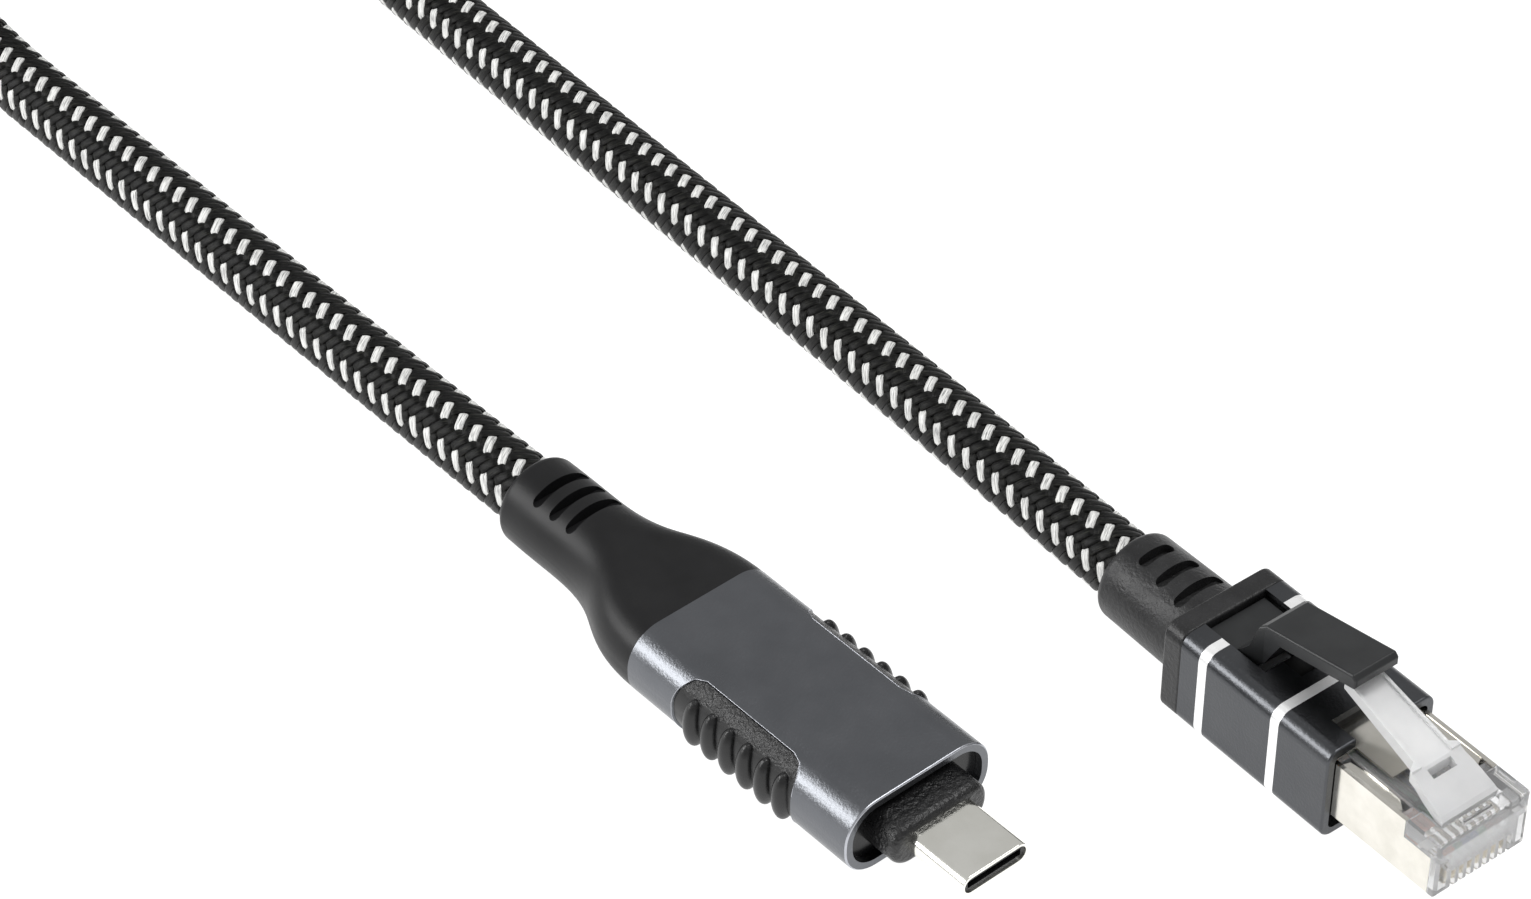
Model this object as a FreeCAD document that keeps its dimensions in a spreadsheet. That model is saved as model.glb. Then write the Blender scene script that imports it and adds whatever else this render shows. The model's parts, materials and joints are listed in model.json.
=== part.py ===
"""USB-C to RJ45 network cable: two plugs on a braided cord whose spare length is coiled and tied.

+X is the way both plugs point, +Y is across them and +Z is up. The origin is on the surface that the
cable lies on, below the middle of the two plugs. Each plug is modelled in a frame of its own, with x = 0
at the front edge of its metal sleeve, and its finished pieces are then put in place together.
"""
import FreeCAD, Part
import math
import os
import re

import Sketcher
from FreeCAD import Placement, Rotation, Vector

doc = FreeCAD.newDocument("network_cable")

# ---------------------------------------------------------------- driving dimensions, in millimetres
DIMENSIONS = {
    # the RJ45 end
    "rj_front_x": 33.7,
    "rj_axis_y": 20.3,
    "rj_sleeve_width": 13.7,
    "rj_sleeve_height": 11.2,
    "rj_sleeve_length": 20.2,
    "rj_sleeve_corner": 1.5,
    "rj_wall": 0.9,
    "rj_band_width": 1.15,
    "rj_band_front": -6.7,
    "rj_band_rear": -16.65,
    "rj_flange": 2.5,
    "rj_boot_length": 12.0,
    "rj_boot_radius": 5.0,
    "rj_cord_height": 5.1,
    "plug_width": 11.68,
    "plug_height": 6.6,
    "plug_bottom": 2.98,
    "plug_nose": 13.8,
    "plug_rear": -8.0,
    "shield_wall": 0.3,
    "shield_top_front": 9.3,
    "shield_side_front": 12.8,
    "shield_step_height": 7.5,
    "contact_pitch": 1.02,
    "wire_diameter": 0.94,
    "latch_hinge_x": 11.3,
    "latch_hinge_z": 9.45,
    "rj_ferrule_wall": 0.3,
    # the USB-C end
    "uc_front_x": 10.7,
    "uc_axis_y": -16.5,
    "uc_axis_z": 5.0,
    "uc_turn": 2.67,
    "uc_sleeve_width": 18.0,
    "uc_sleeve_height": 8.5,
    "uc_sleeve_length": 31.5,
    "uc_sleeve_corner": 3.9,
    "uc_wall": 0.9,
    "uc_window_rear": -25.0,
    "uc_window_front": -7.7,
    "uc_window_edge": 6.6,
    "uc_boot_end": -57.0,
    "uc_collar_front": 3.3,
    "uc_recess": 0.9,
    "shell_width": 8.25,
    "shell_height": 2.4,
    "shell_wall": 0.3,
    "shell_front": 10.6,
    "shell_rear": -4.0,
    "card_width": 12.0,
    "card_thickness": 1.0,
    "card_rear": -27.0,
    # the cord
    "cord_diameter": 7.5,
    "jacket_diameter": 6.9,
    "cord_seat": 2.0,
    "uc_ferrule_wall": 0.6,
    "ring_radius": 38.0,
    "ring_x": -196.0,
    "ring_y": 12.7,
    "ring_pitch": 7.3,
    "ring_top_from": 30.0,
    "ring_top_to": 272.4,
    "tie_thickness": 0.7,
    "tie_width": 12.0,
}

sheet = doc.addObject("Spreadsheet::Sheet", "Sizes")
for row, (word, value) in enumerate(DIMENSIONS.items(), start=1):
    sheet.set(f"A{row}", word)
    sheet.set(f"B{row}", str(value))
    sheet.setAlias(f"B{row}", word)
doc.recompute()


def size(word):
    """The value of one of the sheet's words."""
    return float(sheet.get(word))


def bind(thing, **expressions):
    """Binds properties to expressions in the sheet's words; a double underscore stands for a dot."""
    for name, text in expressions.items():
        text = re.sub(r"[a-z][a-z_]+[a-z]", lambda m: "Sizes." + m[0] if m[0] in DIMENSIONS else m[0], text)
        thing.setExpression(name.replace("__", "."), text)
    return thing


# ---------------------------------------------------------------- ways to make a solid
def box(name, low, span):
    """A block from its low corner, with its size; both are three expressions."""
    block = doc.addObject("Part::Box", name)
    x, y, z = low
    length, width, height = span
    bind(block, Length=length, Width=width, Height=height)
    return bind(block, Placement__Base__x=x, Placement__Base__y=y, Placement__Base__z=z)


def rod(name, start, length, radius):
    """A cylinder along +X from a start point."""
    bar = doc.addObject("Part::Cylinder", name)
    bar.Placement = Placement(Vector(), Rotation(Vector(0, 1, 0), 90))
    x, y, z = start
    bind(bar, Height=length, Radius=radius)
    return bind(bar, Placement__Base__x=x, Placement__Base__y=y, Placement__Base__z=z)


def cut(name, base, *tools):
    """base without every tool."""
    whole = doc.addObject("Part::Cut", name)
    whole.Base = base
    whole.Tool = tools[0] if len(tools) == 1 else fuse(name + "_tools", *tools)
    return whole


def fuse(name, *pieces):
    """Several solids as one."""
    whole = doc.addObject("Part::MultiFuse", name)
    whole.Shapes = list(pieces)
    return whole


def common(name, *pieces):
    """What several solids share."""
    whole = doc.addObject("Part::MultiCommon", name)
    whole.Shapes = list(pieces)
    return whole


def gather(name, pieces):
    """Separate identical solids in one sub-part."""
    whole = doc.addObject("Part::Compound", name)
    whole.Links = list(pieces)
    return whole


def shaped(name, shape):
    """A sub-part whose shape comes straight from Part's functions."""
    thing = doc.addObject("Part::Feature", name)
    thing.Shape = shape
    return thing


def rounded(name, base, radius, wanted):
    """base with a fillet on each edge that the test wanted() picks."""
    doc.recompute()
    numbers = [k for k, edge in enumerate(base.Shape.Edges, start=1) if wanted(edge)]
    soft = doc.addObject("Part::Fillet", name)
    soft.Base = base
    soft.Edges = [(k, radius, radius) for k in numbers]
    return soft


def origin_plane(body, role):
    return next(f for f in body.Origin.OriginFeatures if f.Role == role)


def prism(name, start, length, width, height, corner, middle):
    """A bar along +X with a rounded rectangular section, as a sketch and a pad; all are expressions."""
    body = doc.addObject("PartDesign::Body", name)
    sketch = body.newObject("Sketcher::SketchObject", name + "_section")
    sketch.AttachmentSupport = [(origin_plane(body, "YZ_Plane"), "")]
    sketch.MapMode = "FlatFace"
    bind(sketch, AttachmentOffset__Base__z=start)
    a, b, r = 6.0, 4.0, 1.0
    sides = [((-a + r, b), (a - r, b)), ((a, b - r), (a, -b + r)),
             ((a - r, -b), (-a + r, -b)), ((-a, -b + r), (-a, b - r))]
    for (y0, z0), (y1, z1) in sides:
        sketch.addGeometry(Part.LineSegment(Vector(y0, z0, 0), Vector(y1, z1, 0)), False)
    for y, z, turn in ((a - r, b - r, 0), (a - r, -b + r, 270), (-a + r, -b + r, 180), (-a + r, b - r, 90)):
        circle = Part.Circle(Vector(y, z, 0), Vector(0, 0, 1), r)
        sketch.addGeometry(Part.ArcOfCircle(circle, math.radians(turn), math.radians(turn + 90)), False)
    for line, arc, arc_end in ((0, 4, 2), (1, 5, 2), (2, 6, 2), (3, 7, 2)):
        sketch.addConstraint(Sketcher.Constraint("Tangent", line, 2, arc, arc_end))
    for line, arc, arc_end in ((1, 4, 1), (2, 5, 1), (3, 6, 1), (0, 7, 1)):
        sketch.addConstraint(Sketcher.Constraint("Tangent", line, 1, arc, arc_end))
    for line, way in ((0, "Horizontal"), (1, "Vertical"), (2, "Horizontal"), (3, "Vertical")):
        sketch.addConstraint(Sketcher.Constraint(way, line))
    for arc in (5, 6, 7):
        sketch.addConstraint(Sketcher.Constraint("Equal", 4, arc))
    sizes = {
        "corner": (Sketcher.Constraint("Radius", 4, r), corner),
        "half_width": (Sketcher.Constraint("DistanceX", -1, 1, 1, 1, a), f"({width}) / 2"),
        "width": (Sketcher.Constraint("DistanceX", 3, 1, 1, 1, 2 * a), width),
        "top": (Sketcher.Constraint("DistanceY", -1, 1, 0, 1, b), f"({middle}) + ({height}) / 2"),
        "height": (Sketcher.Constraint("DistanceY", 2, 1, 0, 1, 2 * b), height),
    }
    for word, (constraint, expression) in sizes.items():
        number = sketch.addConstraint(constraint)
        sketch.renameConstraint(number, word)
        bind(sketch, **{"Constraints__" + word: expression})
    pad = body.newObject("PartDesign::Pad", name + "_pad")
    pad.Profile = sketch
    bind(pad, Length=length)
    return body


def plate(name, plane, points, thickness):
    """A flat outline pushed both ways from an origin plane; thickness is an expression."""
    body = doc.addObject("PartDesign::Body", name)
    sketch = body.newObject("Sketcher::SketchObject", name + "_outline")
    sketch.AttachmentSupport = [(origin_plane(body, plane), "")]
    sketch.MapMode = "FlatFace"
    for (u0, v0), (u1, v1) in zip(points, points[1:] + points[:1]):
        sketch.addGeometry(Part.LineSegment(Vector(u0, v0, 0), Vector(u1, v1, 0)), False)
    pad = body.newObject("PartDesign::Pad", name + "_pad")
    pad.Profile = sketch
    pad.Midplane = True
    bind(pad, Length=thickness)
    return body


def mirrored(outline):
    """A closed outline from the half of it that has positive second coordinates."""
    return outline + [(x, -y) for x, y in reversed(outline)]


def rounded_section(x, half_width, half_height, corner, middle_z=0.0):
    """A wire of four lines and four arcs across the X axis, for lofts."""
    corners = [(1, 1, 0), (-1, 1, 90), (-1, -1, 180), (1, -1, 270)]
    edges = []
    arcs = []
    for side, level, turn in corners:
        middle = Vector(x, side * (half_width - corner), middle_z + level * (half_height - corner))
        spots = [math.radians(turn + step) for step in (0, 45, 90)]
        arcs.append([middle + Vector(0, corner * math.cos(t), corner * math.sin(t)) for t in spots])
    for k, (start, middle, end) in enumerate(arcs):
        edges.append(Part.Arc(start, middle, end).toShape())
        edges.append(Part.LineSegment(end, arcs[(k + 1) % 4][0]).toShape())
    return Part.Wire(edges)


def at_end(edge, x, tolerance=0.01):
    """True for an edge that lies wholly in the plane at x."""
    return abs(edge.BoundBox.XMin - x) < tolerance and abs(edge.BoundBox.XMax - x) < tolerance


# ---------------------------------------------------------------- the RJ45 end
RJ = []
UC = []
CORD = []
sleeve_middle = "rj_sleeve_height / 2"
plug_middle = "plug_bottom + plug_height / 2"
plug_top = size("plug_bottom") + size("plug_height")

# Sleeve: an anodised tube with two bright grooves, a rear cut-out for the lever and a notch for the latch.
outer = prism("rj_sleeve_outer", "-rj_sleeve_length", "rj_sleeve_length", "rj_sleeve_width",
              "rj_sleeve_height", "rj_sleeve_corner", sleeve_middle)
outer = rounded("rj_sleeve_soft", outer, 0.25, lambda e: at_end(e, 0.0))
bore = prism("rj_sleeve_bore", "-rj_sleeve_length - 1", "rj_sleeve_length + 2",
             "rj_sleeve_width - 2 * rj_wall", "rj_sleeve_height - 2 * rj_wall",
             "rj_sleeve_corner - rj_wall + 0.2", sleeve_middle)
lever_well = box("rj_lever_well", ("-rj_sleeve_length - 1", "-3.9", "rj_sleeve_height - 2"),
                 ("9.4", "7.8", "4"))
lever_slot = box("rj_lever_slot", ("-12.1", "-1.6", "rj_sleeve_height - 2"), ("2.8", "3.2", "4"))
latch_notch = box("rj_latch_notch", ("-3.3", "-3.4", "rj_sleeve_height - 2"), ("5", "6.8", "4"))
rings = []
for where in ("rj_band_rear", "rj_band_front"):
    ring = prism(where + "_outside", f"{where} - rj_band_width", "rj_band_width", "rj_sleeve_width + 1",
                 "rj_sleeve_height + 1", "rj_sleeve_corner + 0.5", sleeve_middle)
    core = prism(where + "_core", f"{where} - 2 * rj_band_width", "3 * rj_band_width",
                 "rj_sleeve_width - 0.12", "rj_sleeve_height - 0.12", "rj_sleeve_corner - 0.06",
                 sleeve_middle)
    rings.append(cut(where + "_groove", ring, core))
RJ.append(cut("rj45_sleeve", outer, bore, lever_well, lever_slot, latch_notch, *rings))

# Inner mould: fills the sleeve behind and around the plug, and has the pocket that the lever dips into.
fill = prism("rj_mould_fill", "-rj_sleeve_length", "rj_sleeve_length - 1.2", "rj_sleeve_width - 2 * rj_wall",
             "rj_sleeve_height - 2 * rj_wall", "rj_sleeve_corner - rj_wall + 0.2", sleeve_middle)
plug_room = box("rj_plug_room", ("plug_rear", "-rj_sleeve_width", "plug_bottom"),
                ("20", "2 * rj_sleeve_width", "plug_height"))
wire_room = box("rj_wire_room", ("-14", "-4.4", "plug_bottom + 2.2"), ("14", "8.8", "2.2"))
pocket = box("rj_lever_pocket", ("-18.8", "-3.9", "8.2"), ("7.9", "7.8", "5"))
slot_pocket = box("rj_slot_pocket", ("-12", "-1.6", "8.2"), ("3", "3.2", "5"))
ledge = box("rj_lever_ledge", ("-rj_sleeve_length - 1", "-3.9", "9.25"), ("3", "7.8", "3"))
mouth = box("rj_notch_mouth", ("-3.3", "-3.4", "plug_bottom + plug_height - 0.2"), ("5", "6.8", "3"))
neck = rod("rj_ferrule_room", ("-rj_sleeve_length - 1", "0", "rj_cord_height"), "7.2",
           "jacket_diameter / 2 + rj_ferrule_wall + 0.02")
RJ.append(cut("rj45_inner_mould", fill, plug_room, wire_room, pocket, slot_pocket, ledge, mouth, neck))

# Boot: a flange that closes the sleeve, and a tapered strain relief with three slots above and below.
flange = prism("rj_flange_block", "-rj_sleeve_length - rj_flange", "rj_flange", "rj_sleeve_width",
               "rj_sleeve_height", "rj_sleeve_corner", sleeve_middle)
flange_front = -size("rj_sleeve_length")
flange_rear = flange_front - size("rj_flange")
flange = rounded("rj_flange_soft", flange, 0.3, lambda e: at_end(e, flange_front) or at_end(e, flange_rear))
relief = doc.addObject("Part::Cone", "rj_relief")
relief.Placement = Placement(Vector(), Rotation(Vector(0, 1, 0), 90))
bind(relief, Radius1="rj_boot_radius - 0.1", Radius2="rj_boot_radius + 0.1", Height="rj_boot_length + 0.5",
     Placement__Base__x="-rj_sleeve_length - rj_flange - rj_boot_length", Placement__Base__z="rj_cord_height")
rj_boot_end = flange_rear - size("rj_boot_length")
relief = rounded("rj_relief_soft", relief, 0.9, lambda e: at_end(e, rj_boot_end))


def relief_slots(name, spots, width, axis_z, radius, depth):
    """Round-ended slots across the top and the underside of a strain relief; spots holds (x, half length)."""
    slots = []
    for number, (x, half) in enumerate(spots):
        straight = half - width / 2
        base_z = axis_z - 2 * radius
        middle = Part.makeBox(width, 2 * straight, 4 * radius, Vector(x - width / 2, -straight, base_z))
        ends = [Part.makeCylinder(width / 2, 4 * radius, Vector(x, y, base_z)) for y in (-straight, straight)]
        slots.append(middle.fuse(ends).removeSplitter())
    keep = Part.makeBox(100, 4 * radius, 2 * (radius - depth),
                        Vector(spots[0][0] - 50, -2 * radius, axis_z - radius + depth))
    return shaped(name, Part.makeCompound([slot.cut(keep) for slot in slots]))


rj_slots = relief_slots("rj_relief_slots", [(-31.4, 2.1), (-28.35, 2.6), (-25.3, 3.0)], 1.3,
                        size("rj_cord_height"), size("rj_boot_radius"), 1.35)
cord_seat = rod("rj_cord_seat", ("-rj_sleeve_length - rj_flange - rj_boot_length - 1", "0", "rj_cord_height"),
                "cord_seat + 1", "cord_diameter / 2 + 0.12")
jacket_bore = rod("rj_jacket_bore",
                  ("-rj_sleeve_length - rj_flange - rj_boot_length - 1", "0", "rj_cord_height"),
                  "30", "jacket_diameter / 2 + 0.02")
RJ.append(cut("rj45_boot", fuse("rj_boot_block", flange, relief), rj_slots, cord_seat, jacket_bore))

# Jacket end and crimp ferrule: the stripped cord that runs through the boot into the mould.
rj_jacket = rod("rj_jacket",
                ("-rj_sleeve_length - rj_flange - rj_boot_length + cord_seat", "0", "rj_cord_height"),
                "rj_sleeve_length + rj_flange + rj_boot_length - cord_seat - 14", "jacket_diameter / 2")
RJ.append(gather("rj45_jacket_end", [rj_jacket]))
RJ.append(cut("rj45_ferrule",
              rod("rj_ferrule_out", ("-19.6", "0", "rj_cord_height"), "3",
                  "jacket_diameter / 2 + rj_ferrule_wall"),
              rod("rj_ferrule_in", ("-20", "0", "rj_cord_height"), "6", "jacket_diameter / 2 + 0.01")))

# Plug body: clear plastic with a trough under the latch, a wire chamber and eight contact slots.
inset = "shield_wall"
back_part = box("plug_back", ("plug_rear", f"-plug_width / 2 + {inset}", f"plug_bottom + {inset}"),
                ("plug_nose - plug_rear - 1", f"plug_width - 2 * {inset}", f"plug_height - 2 * {inset}"))
nose_top = box("plug_nose_top", ("shield_top_front + 0.05", "-plug_width / 2", "shield_step_height + 0.05"),
               ("plug_nose - shield_top_front - 0.05", "plug_width",
                "plug_bottom + plug_height - shield_step_height - 0.05"))
nose_low = box("plug_nose_low", ("shield_side_front + 0.05", "-plug_width / 2", "plug_bottom"),
               ("plug_nose - shield_side_front - 0.05", "plug_width", "plug_height"))
belly = box("plug_belly", ("6.05", f"-plug_width / 2 + {inset}", "plug_bottom"),
            ("plug_nose - 6.05", f"plug_width - 2 * {inset}", "1"))
plug_block = fuse("plug_block", back_part, nose_top, nose_low, belly)
plug_block = rounded("plug_soft", plug_block, 0.45, lambda e: at_end(e, size("plug_nose")))
trough = box("plug_trough", ("plug_rear - 1", "-3.75", "plug_bottom + plug_height - 0.7"),
             ("latch_hinge_x - plug_rear + 1", "7.5", "2"))
hinge_seat = doc.addObject("Part::Cylinder", "plug_hinge_seat")
hinge_seat.Placement = Placement(Vector(0, -3.75, 0), Rotation(Vector(1, 0, 0), -90))
bind(hinge_seat, Radius="0.75", Height="7.5", Placement__Base__x="latch_hinge_x",
     Placement__Base__z="latch_hinge_z")
flap_wells = [box(f"plug_flap_well_{k}", ("0", y, "8"), ("8.2", "1.8", "3"))
              for k, y in enumerate(("-plug_width / 2 + 0.28", "plug_width / 2 - 2.08"))]
chamber = box("plug_chamber", ("plug_rear - 1", "-4.5", "plug_bottom + 2.3"), ("19.6", "9", "2"))
ears = [box(f"plug_ear_{k}", ("plug_nose - 2.6", y, "plug_bottom + 0.7"), ("4", "1", "3.6"))
        for k, y in enumerate(("-plug_width / 2 + 0.35", "plug_width / 2 - 1.35"))]
front_slot = box("plug_front_slot", ("latch_hinge_x + 1.15", "-1.8", "plug_bottom + plug_height - 0.8"),
                 ("0.4", "3.6", "2"))
contact_slots = [box(f"plug_contact_slot_{k}", ("6.6", f"{k - 3.5} * contact_pitch - 0.3", "plug_bottom - 1"),
                     ("10", "0.6", "3.4")) for k in range(8)]
RJ.append(cut("rj45_plug_body", plug_block, trough, hinge_seat, chamber, front_slot, *flap_wells, *ears,
              *contact_slots))

# Shield: a nickel wrap with stepped sides, a top panel under the latch and two bent-in flaps.
wrap = box("shield_wrap", ("plug_rear", "-plug_width / 2", "plug_bottom"),
           ("shield_side_front - plug_rear", "plug_width", "plug_height"))
hollow = box("shield_hollow", ("plug_rear - 1", "-plug_width / 2 + shield_wall", "plug_bottom + shield_wall"),
             ("40", "plug_width - 2 * shield_wall", "plug_height - 2 * shield_wall"))
step = box("shield_step", ("shield_top_front", "-plug_width", "shield_step_height"),
           ("10", "2 * plug_width", "6"))
belly_gap = box("shield_belly_gap", ("6", "-plug_width / 2 + shield_wall", "plug_bottom - 1"),
                ("20", "plug_width - 2 * shield_wall", "2"))
windows = [box(f"shield_window_{k}", ("-0.4", y, "plug_bottom + plug_height - 1"), ("20", "2.5", "2"))
           for k, y in enumerate(("-5.35", "2.85"))]
panel_end = box("shield_panel_end", ("4.5", "-3", "plug_bottom + plug_height - 1"), ("20", "6", "2"))
LEAF_OUTLINE = [(0.4, 0), (7.6, 0), (7.9, 0.6), (6.6, 1.65), (2.2, 1.75), (0.4, 1.2), (0.4, 0)]
LEAF_SLOPE = -16
flaps = []
for k, side in enumerate((-1, 1)):
    leaf = Part.makePolygon([Vector(x, y, 0) for x, y in LEAF_OUTLINE])
    leaf = Part.Face(leaf).extrude(Vector(0, 0, 0.2))
    leaf.rotate(Vector(0, 0, 0), Vector(1, 0, 0), LEAF_SLOPE)
    leaf.translate(Vector(0, -size("plug_width") / 2 + size("shield_wall") + 0.02, plug_top - 0.3))
    flaps.append(shaped(f"shield_flap_{k}", leaf if side < 0 else leaf.mirror(Vector(), Vector(0, 1, 0))))
shield_shell = cut("shield_shell", wrap, hollow, step, belly_gap, *windows, panel_end)
RJ.append(gather("rj45_shield", [shield_shell, *flaps]))

# Contacts, load bar and wires: eight blades that bite into eight wires held in a row.
blades = [box(f"contact_blade_{k}", ("7.4", f"{k - 3.5} * contact_pitch - 0.17", "plug_bottom + 0.35"),
              ("5.8", "0.34", "2.02")) for k in range(8)]
RJ.append(gather("rj45_contacts", blades))
bar = box("load_bar_block", ("1.5", "-4.4", "plug_bottom + 2.36"), ("5.5", "8.8", "1.88"))
bar_holes = [rod(f"load_bar_hole_{k}", ("1", f"{k - 3.5} * contact_pitch", "plug_bottom + 2.9"), "8",
                 "wire_diameter / 2 + 0.03") for k in range(8)]
RJ.append(cut("rj45_load_bar", bar, *bar_holes))
PAIRS = {"orange": (0, 1), "green": (2, 5), "blue": (3, 4), "brown": (6, 7)}
for colour, places in PAIRS.items():
    wires = [rod(f"rj_{colour}_wire_{k}", ("-13.9", f"{k - 3.5} * contact_pitch", "plug_bottom + 2.9"),
                 "24.2", "wire_diameter / 2") for k in places]
    RJ.append(gather(f"rj45_{colour}_pair", wires))

# Latch: a sprung clear tongue that rises backwards from the nose, with shoulders, side rims and a slot.
top_line = [(11.75, 9.75), (11.3, 10.05), (7.0, 12.0), (-3.6, 15.1)]
under_line = [(-3.6, 14.2), (6.6, 11.0), (10.4, 9.35), (11.1, 8.85), (11.6, 8.95)]
plan = mirrored([(12, 3.55), (8.6, 3.3), (7.6, 3.1), (6.7, 3.1), (6.2, 2.25), (-4, 1.85)])
inner_plan = mirrored([(7.4, 1.95), (6.2, 1.9), (-5, 1.5)])
rise = 0.3
rim_line = [(7.0, 12.0 + rise), (-3.6, 15.1 + rise), (-3.6, 14.9), (7.0, 11.8)]
tongue = common("latch_tongue", plate("latch_side", "XZ_Plane", top_line + under_line, "8"),
                plate("latch_plan", "XY_Plane", plan, "60"))
rims = cut("latch_rims", common("latch_rim_blank", plate("latch_rim_side", "XZ_Plane", rim_line, "8"),
                                plate("latch_rim_plan", "XY_Plane", plan, "60")),
           plate("latch_rim_inner", "XY_Plane", inner_plan, "60"))
latch_slot = box("latch_slot", ("7.3", "-1.5", "9"), ("0.95", "3", "6"))
RJ.append(cut("rj45_latch", fuse("latch_block", tongue, rims), latch_slot))

# Release lever: a black tongue rooted in the sleeve's rear cut-out, whose pad stands over the latch's tail.
lever_side = [(-20.0, 9.5), (-20.0, 10.4), (-16.4, 10.4), (-14.7, 12.2), (-14.0, 14.9), (-13.4, 15.3),
              (-1.9, 17.65), (-1.4, 17.2), (-1.4, 16.2), (-11.3, 14.2), (-12.4, 12.2), (-13.2, 10.6),
              (-14.4, 9.5)]
lever_plan = mirrored([(-21, 3.6), (-15.2, 3.6), (-13.4, 2.8), (0, 2.8)])
lever = common("lever_block", plate("lever_side", "XZ_Plane", lever_side, "8"),
               plate("lever_plan", "XY_Plane", lever_plan, "60"))


def on_pad_rim(edge):
    """True for the edges round the pad's top, its front and its sides."""
    box_of = edge.BoundBox
    return box_of.ZMin > 14.5 and box_of.XMin > -14.2 and box_of.ZMax > 15.2


RJ.append(rounded("rj45_release_lever", lever, 0.3, on_pad_rim))

# ---------------------------------------------------------------- the USB-C end
# Sleeve: a flat rounded tube with a window on each side for the grips.
hull = prism("uc_sleeve_outer", "-uc_sleeve_length", "uc_sleeve_length", "uc_sleeve_width",
             "uc_sleeve_height", "uc_sleeve_corner", "0")
hull = rounded("uc_sleeve_soft", hull, 0.2, lambda e: at_end(e, 0.0))
hull_bore = prism("uc_sleeve_bore", "-uc_sleeve_length - 1", "uc_sleeve_length + 2",
                  "uc_sleeve_width - 2 * uc_wall", "uc_sleeve_height - 2 * uc_wall",
                  "uc_sleeve_corner - uc_wall", "0")


def side_window(name, grow):
    """The space of both grip windows, seen from above as two bays with slanted rounded inner corners."""
    rear = size("uc_window_rear") - grow
    front = size("uc_window_front") + grow
    edge = size("uc_window_edge") - grow
    bay = [(rear, 12), (rear, 9.2), (rear + 0.5, 8.2), (rear + 1.4, 7.1), (rear + 2.6, edge),
           (front - 2.2, edge), (front - 1.0, 7.0), (front - 0.3, 8.0), (front, 9.2), (front, 12)]
    bays = []
    for side in (-1, 1):
        wire = Part.makePolygon([Vector(x, side * y, -10) for x, y in bay + bay[:1]])
        bays.append(Part.Face(wire).extrude(Vector(0, 0, 20)))
    return shaped(name, Part.makeCompound(bays))


UC.append(cut("usbc_sleeve", hull, hull_bore, side_window("uc_windows", 0.0)))

# Grips: rubber pads in the windows, each with six ribs, on a backing inside the sleeve.
pad_skin = prism("uc_grip_skin", "uc_window_rear + 0.05", "uc_window_front - uc_window_rear - 0.1",
                 "uc_sleeve_width - 0.3", "uc_sleeve_height - 0.3", "uc_sleeve_corner - 0.15", "0")
pad_core = prism("uc_grip_core", "uc_window_rear - 1", "uc_window_front - uc_window_rear + 2",
                 "uc_sleeve_width - 2 * uc_wall - 0.02", "uc_sleeve_height - 2 * uc_wall - 0.02",
                 "uc_sleeve_corner - uc_wall", "0")
skins = common("uc_grip_pads", cut("uc_grip_tube", pad_skin, pad_core), side_window("uc_grip_windows", -0.05))
doc.recompute()
RIB_COUNT = 6
RIB_PITCH = 2.56
RIB_FIRST = -22.2
RIB_HALF_SIZE = (1.1, 1.35, 2.9)
RIB_ACROSS = 8.35
RIB_LEVEL = -0.2
for side, name in ((-1, "usbc_grip_near"), (1, "usbc_grip_far")):
    half_space = Part.makeBox(40, 20, 20, Vector(-40, 0 if side > 0 else -20, -10))
    pad_half = skins.Shape.common(half_space)
    ribs = []
    for k in range(RIB_COUNT):
        rib = Part.makeSphere(1.0)
        stretch = FreeCAD.Matrix()
        stretch.scale(*RIB_HALF_SIZE)
        rib = rib.transformGeometry(stretch)
        rib.translate(Vector(RIB_FIRST + RIB_PITCH * k, side * RIB_ACROSS, RIB_LEVEL))
        ribs.append(rib.cut(pad_core.Shape))
    UC.append(shaped(name, pad_half.fuse(ribs).removeSplitter()))

# Front insert and nose collar: the dark end wall set back in the sleeve, and the boss round the shell.
insert = prism("uc_insert_block", "-3.2", "3.2 - uc_recess", "uc_sleeve_width - 2 * uc_wall - 0.04",
               "uc_sleeve_height - 2 * uc_wall - 0.04", "uc_sleeve_corner - uc_wall", "0")
insert_hole = prism("uc_insert_hole", "-5", "10", "shell_width", "shell_height", "shell_height / 2 - 0.01",
                    "0")
UC.append(cut("usbc_front_insert", insert, insert_hole))
collar = prism("uc_collar_block", "-uc_recess", "uc_collar_front + uc_recess", "11.8", "4.8", "2.2", "0")
collar = rounded("uc_collar_soft", collar, 0.85, lambda e: at_end(e, size("uc_collar_front")))
collar_hole = prism("uc_collar_hole", "-5", "20", "shell_width", "shell_height", "shell_height / 2 - 0.01",
                    "0")
UC.append(cut("usbc_nose_collar", collar, collar_hole))

# Plug shell, insulator, contacts and springs.
shell = prism("uc_shell_out", "shell_rear", "shell_front - shell_rear", "shell_width", "shell_height",
              "shell_height / 2 - 0.01", "0")
shell = rounded("uc_shell_soft", shell, 0.12, lambda e: at_end(e, size("shell_front")))
shell_bore = prism("uc_shell_in", "shell_rear - 1", "shell_front - shell_rear + 2",
                   "shell_width - 2 * shell_wall", "shell_height - 2 * shell_wall",
                   "shell_height / 2 - shell_wall - 0.01", "0")
UC.append(cut("usbc_shell", shell, shell_bore))
tongue_block = prism("uc_insulator_out", "shell_rear + 0.5", "shell_front - shell_rear - 0.7",
                     "shell_width - 2 * shell_wall - 0.02", "shell_height - 2 * shell_wall - 0.02",
                     "shell_height / 2 - shell_wall - 0.02", "0")
tongue_slot = box("uc_tongue_slot", ("3.6", "-3.3", "-0.42"), ("10", "6.6", "0.84"))
latch_grooves = [box(f"uc_latch_groove_{k}", ("3.6", y, "-0.3"), ("5.6", "0.32", "0.6"))
                 for k, y in enumerate(("-3.61", "3.29"))]
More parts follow.
